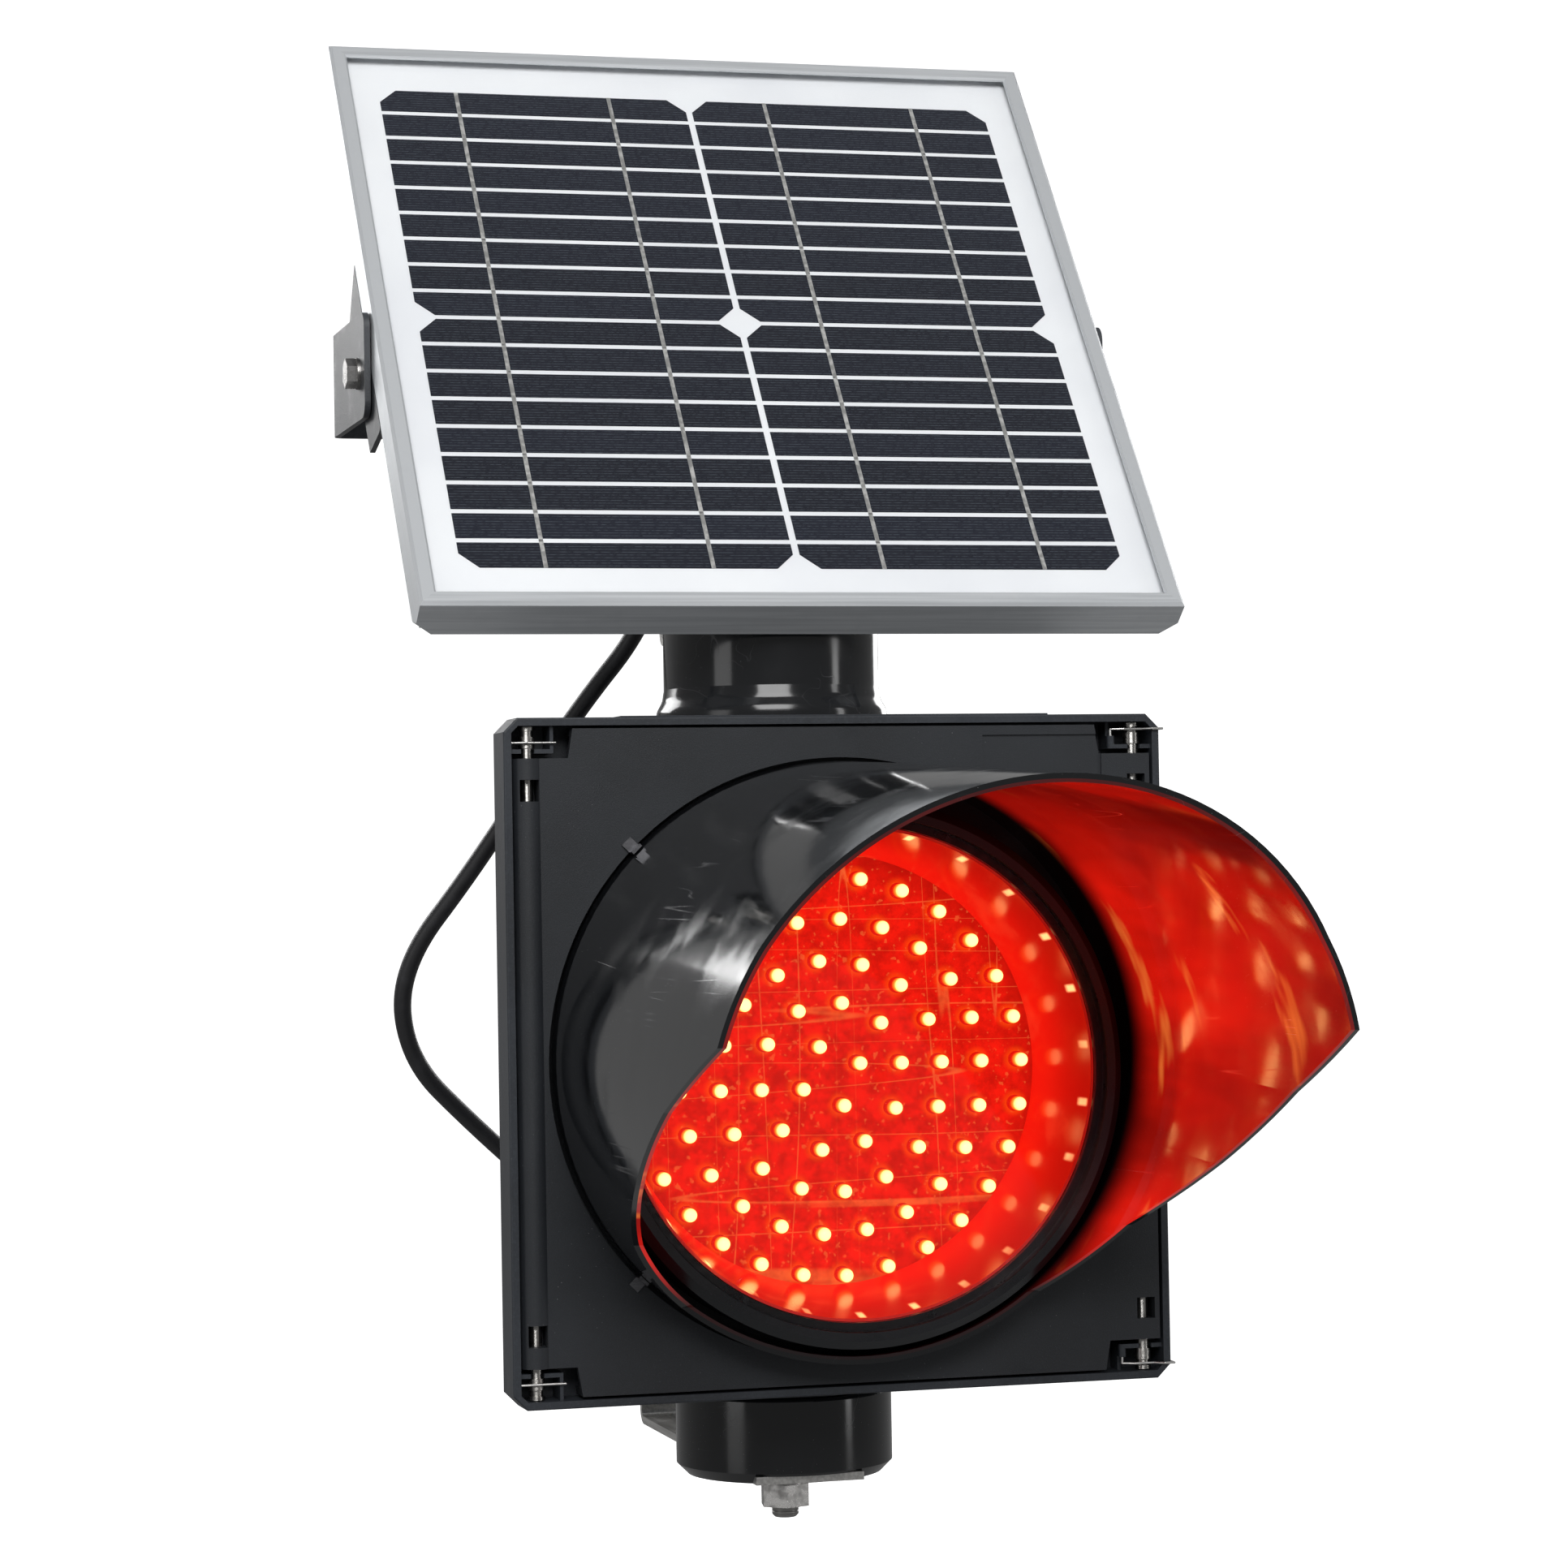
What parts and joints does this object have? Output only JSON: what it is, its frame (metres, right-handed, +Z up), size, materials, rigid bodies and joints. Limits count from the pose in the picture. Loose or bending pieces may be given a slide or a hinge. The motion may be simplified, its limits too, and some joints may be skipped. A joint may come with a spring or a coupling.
{
  "type": "traffic signal head",
  "caption": "Solar powered road traffic signal head with one red lamp, a drooping cutaway visor, a hinged door, a strap arm and a tilting solar panel.",
  "frame": {"origin": "centre of the two bolt holes in the arm's upright flange, on the flange's rear face", "axes": "+X to the right seen from the road, +Y back towards the post, +Z up; the lamp looks along -Y"},
  "size_m": [0.305, 0.4797, 0.5743],
  "materials": {
    "stainless": "satin, rolled",
    "neck_plastic": "gloss, slight orange peel",
    "housing_plastic": "fine sanded texture",
    "door_plastic": "fine spark texture",
    "visor_plastic": "high gloss",
    "bezel_plastic": "gloss",
    "box_plastic": "satin",
    "zinc_steel": "bright zinc",
    "pin_steel": "turned",
    "spring_wire": "drawn wire",
    "grey_paint": "dark grey powder coat",
    "gland_nylon": "moulded nylon",
    "battery_wrap": "shrink wrap",
    "gasket_rubber": "foamed",
    "lens_clear": "clear moulded",
    "led_board": "solder mask, lit red",
    "led_red": "clear red epoxy, lit",
    "frame_aluminium": "clear anodised",
    "panel_glass": "clear front sheet",
    "solar_cell": "dark blue-black silicon",
    "tinned_ribbon": "tinned copper",
    "backsheet": "white film",
    "cable_jacket": "matt jacket"
  },
  "bodies": {
    "pole_mount": {"bottom_arm": "stainless", "bottom_neck": "neck_plastic"},
    "head": {"housing_body": "housing_plastic", "top_neck": "neck_plastic", "tie_rod": "zinc_steel", "tie_rod_washers": "zinc_steel", "tie_rod_nuts": "zinc_steel", "panel_riser": "stainless", "panel_support_bracket": "grey_paint", "support_bolts": "zinc_steel", "support_nuts": "zinc_steel", "pivot_bolts": "zinc_steel", "pivot_washers": "zinc_steel", "pivot_nuts": "zinc_steel", "hinge_clips": "spring_wire", "housing_gland": "gland_nylon", "gland_nut": "gland_nylon", "battery_pack": "battery_wrap", "battery_strap": "zinc_steel", "control_box": "box_plastic", "panel_cable": "cable_jacket"},
    "door": {"door_cover": "door_plastic", "door_gasket": "gasket_rubber", "door_pins": "pin_steel", "visor": "visor_plastic", "visor_clips": "pin_steel", "lamp_bezel": "bezel_plastic", "lens": "lens_clear", "lamp_reflector": "led_board", "lamp_cup": "box_plastic", "lamp_screws": "zinc_steel", "led_board": "led_board", "leds": "led_red"},
    "panel": {"frame_left": "frame_aluminium", "frame_right": "frame_aluminium", "frame_bottom": "frame_aluminium", "frame_top": "frame_aluminium", "corner_keys": "frame_aluminium", "panel_glass": "panel_glass", "solar_cells": "solar_cell", "cell_ribbons": "tinned_ribbon", "backsheet": "backsheet", "junction_box": "box_plastic", "junction_box_lid": "box_plastic", "panel_gland": "gland_nylon", "panel_gussets": "grey_paint", "gusset_screws": "zinc_steel"},
    "latch_top": {"latch_clip_top": "spring_wire"},
    "latch_bottom": {"latch_clip_bottom": "spring_wire"}
  },
  "joints": [
    {"name": "head_aim", "type": "hinge", "parent": "pole_mount", "child": "head", "pos_m": [0, -0.148, 0], "axis": [0, 0, 1], "range_deg": [-30, 30]},
    {"name": "panel_tilt", "type": "hinge", "parent": "head", "child": "panel", "pos_m": [0, -0.10154, 0.38674], "axis": [1, 0, 0], "range_deg": [-32, 0]},
    {"name": "door_hinge", "type": "hinge", "parent": "head", "child": "door", "pos_m": [-0.1122, -0.233, 0.13], "axis": [0, 0, -1], "range_deg": [0, 90]},
    {"name": "latch_top_swing", "type": "hinge", "parent": "head", "child": "latch_top", "pos_m": [0.1037, -0.2344, 0.242], "axis": [0, 0, -1], "range_deg": [0, 110]},
    {"name": "latch_bottom_swing", "type": "hinge", "parent": "head", "child": "latch_bottom", "pos_m": [0.1037, -0.2344, 0.018], "axis": [0, 0, -1], "range_deg": [0, 110]}
  ]
}
